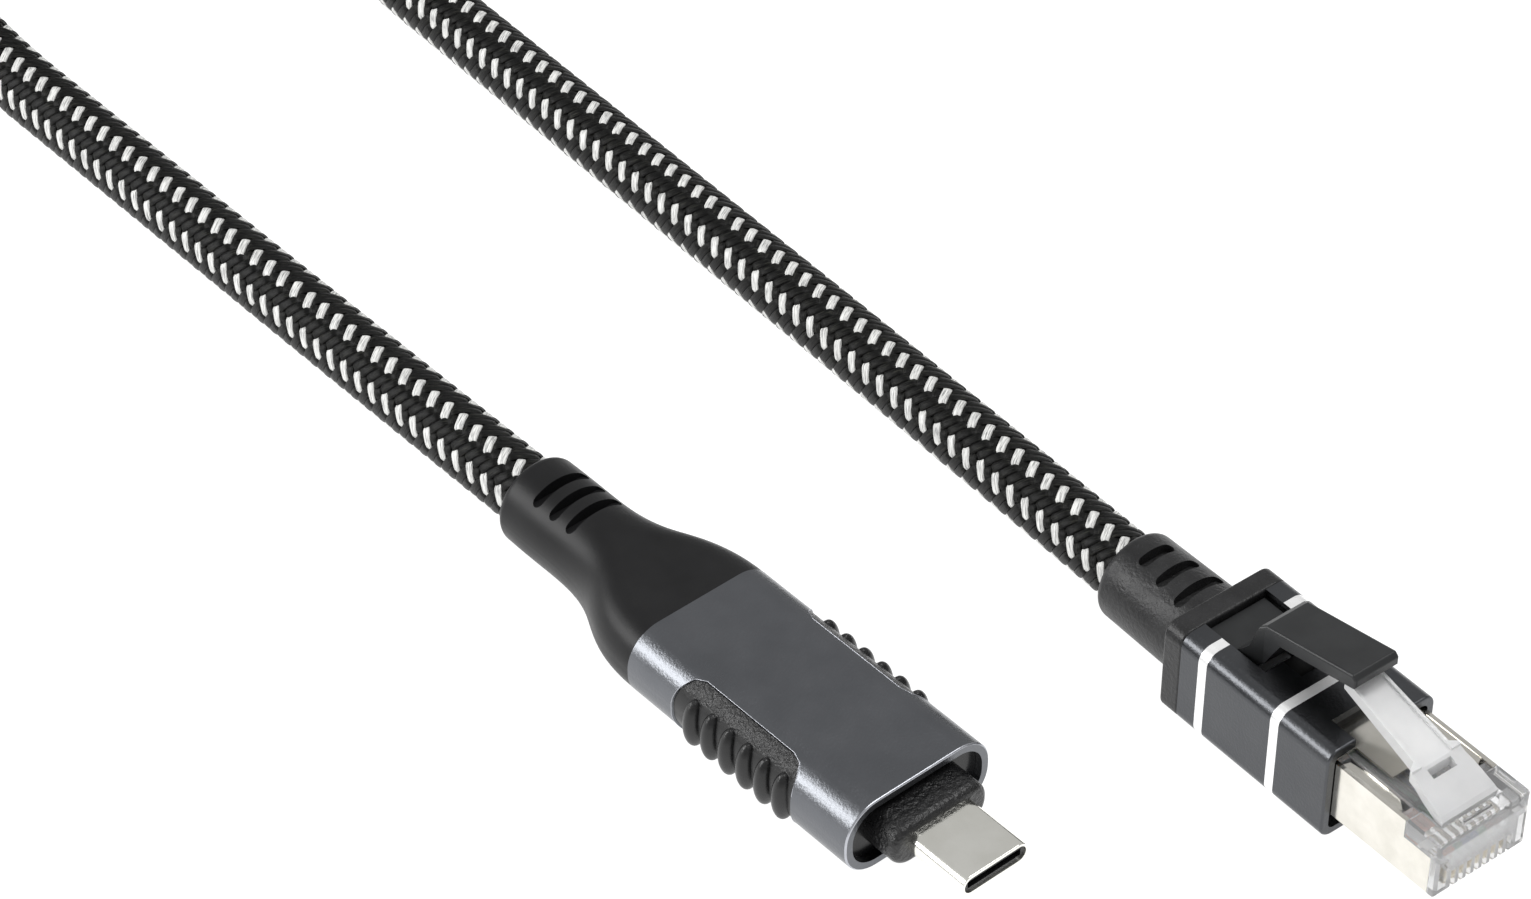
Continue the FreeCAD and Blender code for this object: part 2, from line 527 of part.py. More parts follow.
spring_seats = [box(f"uc_spring_seat_{k}", ("8.0", "-3.05", z), ("1.6", "6.1", "0.16"))
                for k, z in enumerate(("0.4", "-0.56"))]
UC.append(cut("usbc_insulator", tongue_block, tongue_slot, *latch_grooves, *spring_seats))
for name, level in (("usbc_upper_contacts", "0.3"), ("usbc_lower_contacts", "-0.42")):
    strips = [box(f"{name}_{k}", ("4.0", f"{k - 5.5} * 0.5 - 0.13", level), ("3.8", "0.26", "0.12"))
              for k in range(12)]
    UC.append(gather(name, strips))
arms = [box(f"uc_latch_arm_{k}", ("3.7", y, "-0.24"), ("5.4", "0.2", "0.48"))
        for k, y in enumerate(("-3.55", "3.35"))]
UC.append(gather("usbc_side_latches", arms))
fingers = []
for k, level in enumerate(("0.42", "-0.54")):
    for place, y in enumerate(("-2.95", "-0.45", "2.05")):
        fingers.append(box(f"uc_spring_{k}_{place}", ("8.1", y, level), ("1.4", "0.9", "0.12")))
UC.append(gather("usbc_emi_springs", fingers))

# Circuit card with its chips under a shield can.
card_top = "card_thickness / 2"
CARD_PIECES = {
    "usbc_circuit_card": (("card_rear", "-card_width / 2", "-card_thickness / 2"),
                          ("-card_rear - 4.6", "card_width", "card_thickness")),
    "usbc_network_controller": (("-13.5", "-3.5", card_top), ("7", "7", "0.85")),
    "usbc_magnetics": (("-24.5", "-4.2", card_top), ("8.4", "8.4", "1.5")),
    "usbc_crystal": (("-10.6", "-2.5", "-card_thickness / 2 - 0.8"), ("3.2", "2.5", "0.8")),
}
for name, (low, span) in CARD_PIECES.items():
    UC.append(gather(name, [box(name + "_block", low, span)]))
chips = [box(f"uc_passive_{k}_{row}", (f"-23 + {k} * 2.1", f"{row} * 2.4 + 1", "-card_thickness / 2 - 0.45"),
             ("1", "0.5", "0.45")) for k in range(6) for row in range(2)]
UC.append(gather("usbc_passives", chips))
can_out = box("uc_can_out", ("-25.4", "-6.6", "-2.7"), ("21", "13.2", "5.4"))
can_in = box("uc_can_in", ("-30", "-6.35", "-2.45"), ("40", "12.7", "4.9"))
UC.append(cut("usbc_shield_can", can_out, can_in))

# Conductors, jacket end and ferrule inside the boot.
uc_places = {"orange": (-4.2, -3.1), "green": (-1.6, -0.5), "blue": (0.5, 1.6), "brown": (3.1, 4.2)}
for colour, ys in uc_places.items():
    wires = [rod(f"uc_{colour}_wire_{k}", ("-35.9", f"{y}", "card_thickness / 2 + wire_diameter / 2"),
                 "10.4", "wire_diameter / 2") for k, y in enumerate(ys)]
    UC.append(gather(f"usbc_{colour}_pair", wires))
uc_jacket = rod("uc_jacket", ("uc_boot_end + cord_seat", "0", "0"), "-uc_boot_end - cord_seat - 36",
                "jacket_diameter / 2")
UC.append(gather("usbc_jacket_end", [uc_jacket]))
UC.append(cut("usbc_ferrule",
              rod("uc_ferrule_out", ("-41", "0", "0"), "5", "jacket_diameter / 2 + uc_ferrule_wall"),
              rod("uc_ferrule_in", ("-42", "0", "0"), "7", "jacket_diameter / 2 + 0.01")))

# Boot: flares from the round strain relief to the sleeve's section, with a spigot that plugs the sleeve.
BOOT_SECTIONS = [  # x, half width, half height, corner radius
    (-31.5, 8.97, 4.22, 3.85),
    (-33.4, 8.9, 4.24, 3.85),
    (-36.0, 8.5, 4.3, 3.95),
    (-38.6, 7.6, 4.45, 4.1),
    (-41.3, 6.3, 4.65, 4.4),
    (-43.6, 5.5, 4.8, 4.66),
    (-46.5, 5.03, 4.9, 4.83),
    (-50.0, 4.93, 4.92, 4.86),
    (size("uc_boot_end"), 4.9, 4.9, 4.83),
]
boot_wires = [rounded_section(*section) for section in BOOT_SECTIONS]
uc_boot = shaped("uc_boot_loft", Part.makeLoft(boot_wires, True, False))
uc_boot = rounded("uc_boot_soft", uc_boot, 0.9, lambda e: at_end(e, size("uc_boot_end")))
spigot = prism("uc_boot_spigot", "-uc_sleeve_length - 0.5", "3.5", "uc_sleeve_width - 2 * uc_wall - 0.04",
               "uc_sleeve_height - 2 * uc_wall - 0.04", "uc_sleeve_corner - uc_wall", "0")
uc_slots = relief_slots("uc_relief_slots", [(-52.6, 3.4), (-50.05, 3.4), (-47.5, 3.4)], 1.2, 0.0, 5.0, 1.5)
uc_seat = rod("uc_cord_seat", ("uc_boot_end - 1", "0", "0"), "cord_seat + 1", "cord_diameter / 2 + 0.12")
uc_bore = rod("uc_jacket_bore", ("uc_boot_end - 1", "0", "0"), "-uc_boot_end - 35.9",
              "jacket_diameter / 2 + 0.02")
uc_ferrule_room = rod("uc_ferrule_room", ("-41.1", "0", "0"), "5.2",
                      "jacket_diameter / 2 + uc_ferrule_wall + 0.02")
uc_wire_room = box("uc_wire_room", ("-36", "-5.6", "-2.2"), ("10", "11.2", "4.4"))
UC.append(cut("usbc_boot", fuse("uc_boot_block", uc_boot, spigot), uc_slots, uc_seat, uc_bore,
              uc_ferrule_room, uc_wire_room))

# ---------------------------------------------------------------- placing the two ends
rj_place = Placement(Vector(size("rj_front_x"), size("rj_axis_y"), 0), Rotation())
uc_place = Placement(Vector(size("uc_front_x"), size("uc_axis_y"), size("uc_axis_z")),
                     Rotation(Vector(0, 0, 1), size("uc_turn")))
doc.recompute()

# ---------------------------------------------------------------- the cord
# From each boot the cord lies on the surface. The RJ45 end goes under the coil as its lowest turn, and the
# USB-C end comes down from its highest.
cord = size("cord_diameter")
ring_middle = Vector(size("ring_x"), size("ring_y"), 0)
ring_floor = cord / 2 + size("tie_thickness")
ring_top = ring_floor + 2 * size("ring_pitch")
RJ_RUN = [(0.9, 20.3, 5.1), (-35, 21.3, 4.3), (-71, 21.65, 3.9), (-106, 21.75, 3.8), (-139, 21.7, 3.9),
          (-154.3, 27.3, 4.2), (-166.5, 37.5, ring_floor)]
UC_RUN = [(-201.0, -25.57, ring_top), (-174.3, -24.45, ring_top), (-152.3, -23.5, 3.85), (-118, -21.8, 3.8),
          (-80, -20.3, 4.1), (-44.4, -19.05, 5.0)]


def cord_tube(name, spots):
    """A round tube along straight runs joined by tangent arcs; prints its radii and checks its volume."""
    spots = [Vector(*spot) for spot in spots]
    edges = []
    radii = []
    last = spots[0]
    for before, corner, after in zip(spots, spots[1:], spots[2:]):
        back = before - corner
        ahead = after - corner
        reach = 0.45 * min(back.Length, ahead.Length)
        half_turn = (math.pi - back.getAngle(ahead)) / 2
        radius = reach / math.tan(half_turn)
        back.normalize()
        ahead.normalize()
        start = corner + back * reach
        end = corner + ahead * reach
        inward = (back + ahead).normalize()
        middle = corner + inward * (radius / math.cos(half_turn) - radius)
        edges += [Part.LineSegment(last, start).toShape(), Part.Arc(start, middle, end).toShape()]
        radii.append(radius)
        last = end
    edges.append(Part.LineSegment(last, spots[-1]).toShape())
    path = Part.Wire(edges)
    section = Part.Wire(Part.makeCircle(cord / 2, spots[0], spots[1] - spots[0]))
    tube = path.makePipeShell([section], True, False)
    share = tube.Volume / (math.pi * cord ** 2 / 4 * path.Length)
    bends = [round(radius) for radius in radii]
    print(f"{name}: {path.Length:.1f} mm, radii {bends}, volume / section x length {share:.4f}")
    return shaped(name, tube)


rj_run = cord_tube("cord_rj45_run", RJ_RUN)
uc_run = cord_tube("cord_usbc_run", UC_RUN)

# Coil: a ring as high as two turns, and the part of a third turn that lies on it.
low_height = size("ring_pitch") + cord
low_section = Part.Face(rounded_section(0, cord / 2, low_height / 2, cord / 2 - 0.02,
                                        ring_floor - cord / 2 + low_height / 2))
low_section.rotate(Vector(), Vector(0, 0, 1), -90)
low_section.translate(Vector(size("ring_radius"), 0, 0))
low_ring = low_section.revolve(Vector(), Vector(0, 0, 1), 360)
top_middle = Vector(size("ring_radius"), 0, ring_top)
top_section = Part.Face(Part.Wire(Part.makeCircle(cord / 2, top_middle, Vector(0, 1, 0))))
top_section.rotate(Vector(), Vector(0, 0, 1), size("ring_top_from"))
top_ring = top_section.revolve(Vector(), Vector(0, 0, 1), size("ring_top_to") - size("ring_top_from"))
coil_shape = low_ring.fuse(top_ring)
coil_shape.translate(ring_middle)
coil = shaped("cord_coil", coil_shape)

# Tie: a fabric strap round all the turns, on the side away from the plugs.
tie_wall = size("tie_thickness")
tie_height = ring_top + cord / 2 + tie_wall
tie_block = Part.makeBox(cord + 2 * tie_wall, size("tie_width"), tie_height,
                         Vector(-size("ring_radius") - cord / 2 - tie_wall, -size("tie_width") / 2, 0))
tie_block = tie_block.makeFillet(3.0, [e for e in tie_block.Edges if e.BoundBox.YLength > 1])
tie_block.translate(ring_middle)
tie = shaped("cord_tie", tie_block.cut(coil_shape))
CORD += [rj_run, uc_run, coil, tie]

# ---------------------------------------------------------------- labels, checks and files
doc.recompute()
for piece in RJ:
    piece.Placement = rj_place.multiply(piece.Placement)
for piece in UC:
    piece.Placement = uc_place.multiply(piece.Placement)
doc.recompute()
for thing in doc.Objects:
    if {"Invalid", "Error"} & set(thing.State):
        raise RuntimeError(f"{thing.Name} failed: {thing.State}")
os.makedirs("parts", exist_ok=True)
whole = FreeCAD.BoundBox()
for piece in RJ + UC + CORD:
    shape = piece.Shape
    if shape.isNull() or not shape.isValid():
        raise RuntimeError(f"{piece.Name} has no valid shape")
    piece.Label = piece.Name
    shape.exportStep(f"parts/{piece.Name}.step")
    if piece not in CORD:
        whole.add(shape.BoundBox)
print(f"{len(RJ + UC + CORD)} sub-parts, plugs' box {whole}")
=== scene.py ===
"""Looks for the USB-C to RJ45 network cable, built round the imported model.

The plugs keep their CAD solids and get materials. The cord is one spline, from plug to plug through the coil,
that carries a braid of 24 strands, each strand a real ribbon that passes over and under the others.
"""

import json
import math

import bpy
import numpy as np
from mathutils import Matrix, Vector


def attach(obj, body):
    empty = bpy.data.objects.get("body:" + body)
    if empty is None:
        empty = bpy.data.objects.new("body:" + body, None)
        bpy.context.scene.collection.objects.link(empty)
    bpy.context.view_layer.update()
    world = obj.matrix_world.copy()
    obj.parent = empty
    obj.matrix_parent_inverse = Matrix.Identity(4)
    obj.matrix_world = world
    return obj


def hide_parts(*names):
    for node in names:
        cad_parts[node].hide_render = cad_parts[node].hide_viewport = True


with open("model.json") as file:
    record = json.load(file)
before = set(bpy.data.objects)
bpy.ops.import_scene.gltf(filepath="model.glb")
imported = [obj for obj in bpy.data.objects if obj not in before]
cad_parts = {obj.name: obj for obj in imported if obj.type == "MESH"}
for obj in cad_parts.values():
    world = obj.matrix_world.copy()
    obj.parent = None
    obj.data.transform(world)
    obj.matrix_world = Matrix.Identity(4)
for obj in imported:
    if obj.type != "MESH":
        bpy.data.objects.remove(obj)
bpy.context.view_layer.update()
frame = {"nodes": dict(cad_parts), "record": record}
NODES = frame["nodes"]
MM = 0.001


def rgb(r, g, b):
    """A linear colour from three sRGB levels of 0 to 255."""
    levels = [c / 255 for c in (r, g, b)]
    return tuple(c / 12.92 if c <= 0.04045 else ((c + 0.055) / 1.055) ** 2.4 for c in levels) + (1.0,)


# ---------------------------------------------------------------- camera
LENS_MM = 110.45
CAMERA_SPOT = Vector((0.24269, -0.21591, 0.31871))
CAMERA_RIGHT = Vector((0.61709, 0.78689, -0.00132))
CAMERA_UP = Vector((-0.51975, 0.40886, 0.75013))


def add_camera():
    lens = bpy.data.cameras.new("camera")
    lens.lens = LENS_MM
    lens.sensor_width = 36.0
    lens.clip_start = 0.01
    camera = bpy.data.objects.new("camera", lens)
    right = CAMERA_RIGHT.normalized()
    back = right.cross(CAMERA_UP).normalized()
    up = back.cross(right)
    turn = Matrix((right, up, back)).transposed().to_4x4()
    camera.matrix_world = Matrix.Translation(CAMERA_SPOT) @ turn
    bpy.context.scene.collection.objects.link(camera)
    bpy.context.scene.camera = camera


add_camera()

# ---------------------------------------------------------------- the cord's route
CORD_DIAMETER = 0.0075
CORE_RADIUS = 0.0031
TIE_THICKNESS = 0.0007
RING_CENTRE = (-0.196, 0.0127)
RING_RADIUS = 0.038
RING_PITCH = 0.0073
RING_FIRST = 50.0
RING_LAST = 272.4 + 720
RING_CORNERS = 38
RING_FLOOR = CORD_DIAMETER / 2 + TIE_THICKNESS
RING_TOP = RING_FLOOR + 2 * RING_PITCH
FIRST_CLIMB = (296, 394)
SECOND_CLIMB = (656, 754)
SPLINE_STEPS = 24
CORE_SIDE_STEPS = 6
POINT_SPACING = 0.0005
# The ends of both tubes that lie inside the coil's solid are left out, because the turns go on from there.
RJ_RUN = [(0.0009, 0.0203, 0.0051), (-0.035, 0.0213, 0.0043), (-0.071, 0.02165, 0.0039),
          (-0.106, 0.02175, 0.0038), (-0.139, 0.0217, 0.0039), (-0.1543, 0.0273, 0.0042)]
UC_RUN = [(-0.1743, -0.02445, RING_TOP), (-0.1523, -0.0235, 0.00385), (-0.118, -0.0218, 0.0038),
          (-0.080, -0.0203, 0.0041), (-0.0444, -0.01905, 0.0050)]


def ramp(x, start, end):
    """0 before start, 1 after end, and smooth between them."""
    t = np.clip((x - start) / (end - start), 0.0, 1.0)
    return t * t * (3 - 2 * t)


def coil_points():
    """The coil's turns, from its lowest, where the RJ45 end comes in, to its highest."""
    step = (RING_LAST - RING_FIRST) / RING_CORNERS
    reach = RING_RADIUS / math.cos(math.radians(step / 2))
    points = []
    for corner in range(RING_CORNERS):
        turn = RING_FIRST + step * (corner + 0.5)
        level = ramp(turn, *FIRST_CLIMB) + ramp(turn, *SECOND_CLIMB)
        angle = math.radians(turn)
        points.append((RING_CENTRE[0] + reach * math.cos(angle), RING_CENTRE[1] + reach * math.sin(angle),
                       RING_FLOOR + RING_PITCH * level))
    return points


def add_route():
    """The cord's core: one smooth spline from the RJ45 boot through the coil to the USB-C boot."""
    curve = bpy.data.curves.new("cord_core", "CURVE")
    curve.dimensions = "3D"
    points = RJ_RUN + coil_points() + UC_RUN
    spline = curve.splines.new("NURBS")
    spline.points.add(len(points) - 1)
    for spot, place in zip(spline.points, points):
        spot.co = (*place, 1.0)
    spline.order_u = 3
    spline.use_endpoint_u = True
    spline.resolution_u = SPLINE_STEPS
    core = bpy.data.objects.new("cord_core", curve)
    bpy.context.scene.collection.objects.link(core)
    return core


def centreline(core):
    """Evenly spaced points along the spline, with their distances from its start."""
    mesh = bpy.data.meshes.new_from_object(core)
    line = np.array([v.co for v in mesh.vertices])
    bpy.data.meshes.remove(mesh)
    run = np.concatenate([[0], np.cumsum(np.linalg.norm(np.diff(line, axis=0), axis=1))])
    along = np.linspace(0, run[-1], int(run[-1] / POINT_SPACING))
    return along, np.stack([np.interp(along, run, line[:, k]) for k in range(3)], axis=1)


def cross_axes(line):
    """For each point of the line, the two directions across it: upwards, and to the side."""
    ahead = np.gradient(line, axis=0)
    ahead /= np.linalg.norm(ahead, axis=1, keepdims=True)
    up = np.array([0, 0, 1]) - ahead * ahead[:, 2:]
    up /= np.linalg.norm(up, axis=1, keepdims=True)
    return up, np.cross(ahead, up)


core = add_route()
ALONG, LINE = centreline(core)
UP, SIDE = cross_axes(LINE)
core.data.bevel_depth = CORE_RADIUS
core.data.bevel_resolution = CORE_SIDE_STEPS
core.data.use_fill_caps = True

# ---------------------------------------------------------------- the braid
# Every second right-handed strand is white. Where two strands cross, the one outside depends only on the
# crossing's column round the cord and on the colour of the right-handed one. That gives rows of white flecks
# along the cord, with a basket weave of black strands between two of the rows.
BRAID_LEAD = 14.2 * MM
CARRIERS = 12
CROSSINGS = 24
COLUMN = 2 * math.pi / CROSSINGS
STRAND_THICKNESS = 0.42 * MM
OVER_RADIUS = 3.54 * MM
UNDER_RADIUS = 3.2 * MM
STRAND_ANGLE = math.atan2(2 * math.pi * OVER_RADIUS, BRAID_LEAD)
WHITE_WIDTH = 0.99 * MM
BLACK_WIDTH = 1.06 * MM
PATTERN_COLUMNS = 8
WHITE_OVER = (0, 1, 4, 5)  # the pattern's columns where a white strand is outside
BLACK_OVER = (1, 4)  # and those where a black right-handed strand is
BASKET_CENTRE = 2.5
RJ_TWIST = math.radians(-42)
RJ_TWIST_GAIN = math.radians(14)
RJ_TWIST_OVER = 0.070
UC_TWIST = math.radians(-78)
VISIBLE_RJ = 0.150
VISIBLE_UC = 0.125
OVERLAP = 0.6 * MM
PASSING = (0.15, 0.85)  # the share of the way between two crossings in which a strand moves in or out
CROWN = 0.6  # how full a strand's rounded top is: 1 for a sine, less for flatter with steeper sides


def braid_twist(s):
    """The angle from straight up of a line of the pattern, which turns slowly in the coil."""
    first = RJ_TWIST + RJ_TWIST_GAIN * np.minimum(s / RJ_TWIST_OVER, 1.0)
    return first + (UC_TWIST - first) * ramp(s, VISIBLE_RJ, ALONG[-1] - VISIBLE_UC)


def strand_is_over(right_handed, carrier, crossing):
    """Whether a strand is on the outside at one of its crossings."""
    turn = 1 if right_handed else -1
    column = 2 * carrier + turn * crossing
    right_handed_one = carrier if right_handed else carrier - crossing
    over = WHITE_OVER if right_handed_one % 2 == 0 else BLACK_OVER
    return (column % PATTERN_COLUMNS in over) == right_handed


def on_cord(s, angle, radius):
    """Points at a distance along the cord, an angle about it and a distance from its centre."""
    centre = np.stack([np.interp(s, ALONG, LINE[:, k]) for k in range(3)], axis=-1)
    up = np.stack([np.interp(s, ALONG, UP[:, k]) for k in range(3)], axis=-1)
    side = np.stack([np.interp(s, ALONG, SIDE[:, k]) for k in range(3)], axis=-1)
    return centre + radius[..., None] * (np.cos(angle)[..., None] * up + np.sin(angle)[..., None] * side)


def strand(right_handed, carrier, start, end, rows_each, section_points, width):
    """One strand's vertices, in rows round its lens-shaped section, and its length up to each row."""
    step = BRAID_LEAD / CROSSINGS
    first = math.ceil(start / step)
    last = math.floor(end / step)
    crossing = first + np.arange((last - first) * rows_each + 1) / rows_each
    whole = np.floor(crossing).astype(int)
    levels = np.array([strand_is_over(right_handed, carrier, k) for k in range(first, last + 2)], float)
    before = levels[whole - first]
    after = levels[whole - first + 1]
    level = before + (after - before) * ramp(crossing - whole, *PASSING)
    turn = 1 if right_handed else -1
    s = crossing * step
    column = 2 * carrier + turn * crossing - BASKET_CENTRE
    angle = COLUMN * column + braid_twist(s)
    radius = UNDER_RADIUS + (OVER_RADIUS - UNDER_RADIUS) * level
    top = np.pi * np.arange(section_points - 1) / (section_points - 2)
    across = np.append(-width / 2 * np.cos(top), 0.0)
    lift = np.append(STRAND_THICKNESS / 2 * np.sin(top) ** CROWN, -STRAND_THICKNESS / 2)
    s_all = s[:, None] - turn * across * math.sin(STRAND_ANGLE)
    angle_all = angle[:, None] + across * math.cos(STRAND_ANGLE) / radius[:, None]
    s_all = np.clip(s_all, 0, ALONG[-1])
    return on_cord(s_all, angle_all, radius[:, None] + lift), crossing * step / math.cos(STRAND_ANGLE)


def quad_mesh(name, points, faces, uvs):
    """A smooth mesh from arrays of points, four-cornered faces and one UV for each face corner."""
    mesh = bpy.data.meshes.new(name)
    mesh.vertices.add(len(points))
    mesh.vertices.foreach_set("co", points.astype(np.float32).ravel())
    mesh.loops.add(faces.size)
    mesh.loops.foreach_set("vertex_index", faces.astype(np.int32).ravel())
    mesh.polygons.add(len(faces))
    mesh.polygons.foreach_set("loop_start", np.arange(0, faces.size, 4, dtype=np.int32))
    mesh.polygons.foreach_set("use_smooth", np.ones(len(faces), dtype=bool))
    mesh.uv_layers.new(name="along").data.foreach_set("uv", uvs.astype(np.float32).ravel())
    mesh.update(calc_edges=True)
    mesh.validate()
    return mesh


def ring_faces(rows, count):
    """The four-cornered faces between neighbouring rows of points, where each row is a closed ring."""
    row, k = np.meshgrid(np.arange(rows - 1), np.arange(count), indexing="ij")
    k_next = (k + 1) % count
    here = row * count
    ahead = (row + 1) * count
    return np.stack([here + k, here + k_next, ahead + k_next, ahead + k], axis=-1).reshape(-1, 4)


def cable_piece(name, data, material):
    """An object that moves with the cable's main body, with its material."""
    data.materials.append(material)
    piece = bpy.data.objects.new(name, data)
    bpy.context.scene.collection.objects.link(piece)
    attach(piece, "cable")
    return piece


def braid_piece(name, right_handed, carriers, start, end, rows_each, section_points, width, material):
    """One family of the braid's strands along one stretch of the cord, as one mesh."""
    all_points = []
    all_faces = []
    all_uvs = []
    offset = 0
    for carrier in carriers:
        points, lengths = strand(right_handed, carrier, start, end, rows_each, section_points, width)
        rows, count, _ = points.shape
        faces = ring_faces(rows, count)
        row, k = np.divmod(faces[:, 0], count)
        u = np.stack([k, k + 1, k + 1, k], axis=-1) / count + carrier
        v = np.stack([lengths[row], lengths[row], lengths[row + 1], lengths[row + 1]], axis=-1)
        all_points.append(points.reshape(-1, 3))
        all_faces.append(faces + offset)
        all_uvs.append(np.stack([u, v / MM], axis=-1).reshape(-1, 2))
        offset += rows * count
    mesh = quad_mesh(name, np.concatenate(all_points), np.concatenate(all_faces), np.concatenate(all_uvs))
    return cable_piece(name, mesh, material)


# ---------------------------------------------------------------- materials
def new_material(name, **sockets):
    """A Principled material, with plain values on the shader's own sockets; returns it and its shader."""
    material = bpy.data.materials.new(name)
    material.use_nodes = True
    shader = material.node_tree.nodes["Principled BSDF"]
    for word, value in sockets.items():
        shader.inputs[word.replace("_", " ")].default_value = value
    return material, shader


def add_node(material, kind, **inputs):
    node = material.node_tree.nodes.new(kind)
    for word, value in inputs.items():
        node.inputs[word.replace("_", " ")].default_value = value
    return node


def link(material, start, end):
    material.node_tree.links.new(start, end)


def tone(material, factor, stops):
    """A colour ramp of (position, colour) stops; returns its colour socket."""
    ramp_node = add_node(material, "ShaderNodeValToRGB")
    elements = ramp_node.color_ramp.elements
    while len(elements) < len(stops):
        elements.new(0.5)
    for element, (position, colour) in zip(elements, stops):
        element.position = position
        element.color = colour
    link(material, factor, ramp_node.inputs["Fac"])
    return ramp_node.outputs["Color"]


def spread(material, factor, low, high):
    """A value from low to high as the factor goes from 0.3 to 0.7, the usual range of a noise."""
    node = add_node(material, "ShaderNodeMapRange", From_Min=0.3, From_Max=0.7, To_Min=low, To_Max=high)
    link(material, factor, node.inputs["Value"])
    return node.outputs["Result"]


def noise(material, size_mm, vector=None, detail=3.0):
    """A noise with features of a given size in millimetres, in the object's own coordinates."""
    node = add_node(material, "ShaderNodeTexNoise", Scale=1 / (size_mm * MM), Detail=detail, Roughness=0.55)
    if vector is None:
        vector = add_node(material, "ShaderNodeTexCoord").outputs["Object"]
    link(material, vector, node.inputs["Vector"])
    return node.outputs["Fac"]


def bumped(material, shader, height, depth_mm):
    node = add_node(material, "ShaderNodeBump", Strength=1.0, Distance=depth_mm * MM)
    link(material, height, node.inputs["Height"])
    link(material, node.outputs["Normal"], shader.inputs["Normal"])


def moulded(name, dark, light, roughness, patch_mm, grain_mm, grain_depth_mm, metallic=0.0, **sockets):
    """A surface whose tone and roughness vary in soft patches, with a fine grain in relief."""
    material, shader = new_material(name, Metallic=metallic, **sockets)
    patches = noise(material, patch_mm)
    link(material, tone(material, patches, [(0.35, dark), (0.65, light)]), shader.inputs["Base Color"])
    link(material, spread(material, patches, *roughness), shader.inputs["Roughness"])
    bumped(material, shader, noise(material, grain_mm), grain_depth_mm)
    return material


FIBRE_SCALE = (15.0, 0.7, 1.0)  # streaks across a strand's width, streaks in each millimetre of its length


def strand_material(name, stops, roughness, depth_mm, **sockets):
    """Fibres that run along a strand: streaks across its width, stretched along its length. The same streaks
    give both the relief and the colour, so the fibre crests carry painted highlight and the grooves between
    them painted shade.
    """
    material, shader = new_material(name, **sockets)
    place = add_node(material, "ShaderNodeUVMap")
    place.uv_map = "along"
    stretch = add_node(material, "ShaderNodeMapping", Scale=FIBRE_SCALE)
    link(material, place.outputs["UV"], stretch.inputs["Vector"])
    streaks = add_node(material, "ShaderNodeTexNoise", Scale=1.0, Detail=3.0, Roughness=0.6)
    link(material, stretch.outputs["Vector"], streaks.inputs["Vector"])
    # colour follows the bump height: painted highlight on the crests, painted shade in the grooves
    link(material, tone(material, streaks.outputs["Fac"], stops), shader.inputs["Base Color"])
    link(material, spread(material, streaks.outputs["Fac"], *roughness), shader.inputs["Roughness"])
    bumped(material, shader, streaks.outputs["Fac"], depth_mm)
    return material


CRACKLE_FROM = 7.3 * MM
CRACKLE_FULL = 7.9 * MM


def grip_material():
    """Black rubber: smooth ribs, and a rough crackled field above them, whose raised crackle is painted
    lighter as painted highlight specks.
    """
    material, shader = new_material("grip_rubber", Specular_IOR_Level=0.5)
    place = add_node(material, "ShaderNodeTexCoord")
    height_on_plug = add_node(material, "ShaderNodeSeparateXYZ")
    link(material, place.outputs["Object"], height_on_plug.inputs["Vector"])
    field = add_node(material, "ShaderNodeMapRange", From_Min=CRACKLE_FROM, From_Max=CRACKLE_FULL)
    link(material, height_on_plug.outputs["Z"], field.inputs["Value"])
    crackle = add_node(material, "ShaderNodeMath")
    crackle.operation = "MULTIPLY"
    link(material, noise(material, 0.36), crackle.inputs[0])
    link(material, field.outputs["Result"], crackle.inputs[1])
    # The lighter stops on the raised crackle are painted highlights; the darkest stop is the rubber's own
    # black.
    crackle_colours_with_highlights = [(0.0, rgb(15, 15, 16)), (0.5, rgb(24, 24, 25)), (0.65, rgb(44, 44, 45))]
    link(material, tone(material, crackle.outputs["Value"], crackle_colours_with_highlights), shader.inputs["Base Color"])
    link(material, spread(material, noise(material, 1.5), 0.26, 0.38), shader.inputs["Roughness"])
    bumped(material, shader, crackle.outputs["Value"], 0.2)
    return material


# The white yarn's grey stop is painted shade in the grooves between fibres, and the black yarn's lightest
# stop is a painted sheen on the fibre crests; the other stops are the yarns' own colours.
WHITE_TONES_WITH_PAINTED_SHADE = [(0.32, rgb(96, 97, 98)), (0.44, rgb(190, 190, 188)), (0.6, rgb(238, 238, 235))]
BLACK_TONES_WITH_PAINTED_SHEEN = [(0.42, rgb(4, 4, 4)), (0.56, rgb(12, 12, 11)), (0.72, rgb(52, 52, 46))]
WHITE_YARN = strand_material("white_yarn", WHITE_TONES_WITH_PAINTED_SHADE, (0.3, 0.45), 0.04)
BLACK_YARN = strand_material("black_yarn", BLACK_TONES_WITH_PAINTED_SHEEN, (0.34, 0.5), 0.07, Specular_IOR_Level=0.16)
CORE_FILL = moulded("core_fill", rgb(8, 8, 8), rgb(14, 14, 14), (0.7, 0.9), 2.0, 0.2, 0.02)

